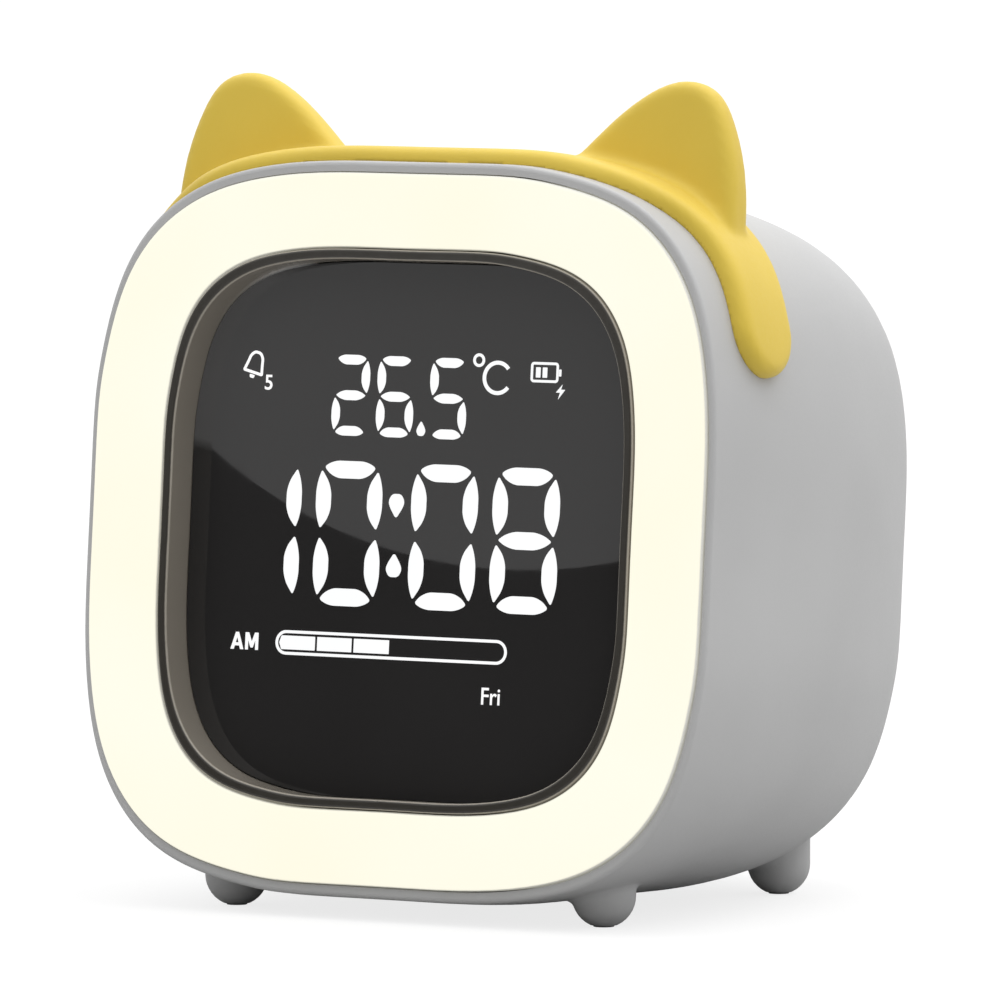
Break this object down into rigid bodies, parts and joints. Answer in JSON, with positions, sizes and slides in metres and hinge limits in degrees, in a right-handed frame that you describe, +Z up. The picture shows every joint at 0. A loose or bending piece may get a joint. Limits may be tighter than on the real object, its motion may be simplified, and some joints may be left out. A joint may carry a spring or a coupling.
{
  "type": "alarm clock",
  "caption": "Leaning rounded-cube bedside alarm clock for children with a glowing ring around a recessed dark display, a silicone cat-ear headband and push buttons on the back",
  "frame": {"origin": "centre of the bounding box in plan, at the table under the foot pads", "axes": "+Z up, the face looks to -Y and leans back, +X to the right of someone facing it"},
  "size_m": [0.0866, 0.0763, 0.0965],
  "materials": {
    "housing_grey": "fine matte moulded grain",
    "key_grey": "smooth matte",
    "silicone_yellow": "soft satin silicone",
    "ring_cream": "satin diffuser, lit",
    "bezel_dark": "polished",
    "lens_black": "polished smoked",
    "module_black": "matte",
    "carrier_white": "matte moulded",
    "board_green": "solder mask",
    "led_yellow": "clear resin",
    "chip_black": "moulded epoxy",
    "plunger_black": "matte",
    "screw_steel": "plated",
    "socket_steel": "plated sheet",
    "connector_white": "matte",
    "ribbon_white": "satin film",
    "cell_silver": "foil pouch",
    "tape_grey": "foam",
    "wire_red": "insulation",
    "basket_steel": "pressed sheet",
    "cone_paper": "pressed paper",
    "magnet_dark": "plated",
    "pad_rubber": "matte"
  },
  "bodies": {
    "housing": {"battery_cell": "cell_silver", "battery_leads": "wire_red", "battery_tape": "tape_grey", "button_board": "board_green", "button_board_screws": "screw_steel", "carrier_screws": "screw_steel", "display_lens": "lens_black", "display_module": "module_black", "ear_headband": "silicone_yellow", "foot_pads": "pad_rubber", "front_carrier": "carrier_white", "light_ring": "ring_cream", "main_board": "board_green", "main_board_chips": "chip_black", "main_board_screws": "screw_steel", "main_shell": "housing_grey", "rear_cover": "housing_grey", "rear_cover_screws": "screw_steel", "ribbon_cable": "ribbon_white", "ribbon_sockets": "connector_white", "ring_leds": "led_yellow", "ring_light_board": "board_green", "ring_light_leads": "wire_red", "screen_bezel": "bezel_dark", "speaker_basket": "basket_steel", "speaker_cone": "cone_paper", "speaker_gasket": "tape_grey", "speaker_leads": "wire_red", "speaker_magnet": "magnet_dark", "tact_switches": "chip_black", "temperature_sensor": "chip_black", "usb_shell": "socket_steel", "usb_tongue": "chip_black"},
    "mode_key": {"mode_button": "key_grey", "mode_plunger": "plunger_black"},
    "up_key": {"up_button": "key_grey", "up_plunger": "plunger_black"},
    "down_key": {"down_button": "key_grey", "down_plunger": "plunger_black"},
    "light_key": {"light_button": "key_grey", "light_plunger": "plunger_black"}
  },
  "joints": [
    {"name": "mode_press", "type": "slide", "parent": "housing", "child": "mode_key", "axis": [0, -0.9958, 0.0913], "range_m": [0, 0.0008], "stiffness_N_per_m": 400, "springref_m": -0.0005},
    {"name": "up_press", "type": "slide", "parent": "housing", "child": "up_key", "axis": [0, -0.9958, 0.0913], "range_m": [0, 0.0008], "stiffness_N_per_m": 400, "springref_m": -0.0005},
    {"name": "down_press", "type": "slide", "parent": "housing", "child": "down_key", "axis": [0, -0.9958, 0.0913], "range_m": [0, 0.0008], "stiffness_N_per_m": 400, "springref_m": -0.0005},
    {"name": "light_press", "type": "slide", "parent": "housing", "child": "light_key", "axis": [0, -0.9958, 0.0913], "range_m": [0, 0.0008], "stiffness_N_per_m": 400, "springref_m": -0.0005}
  ]
}
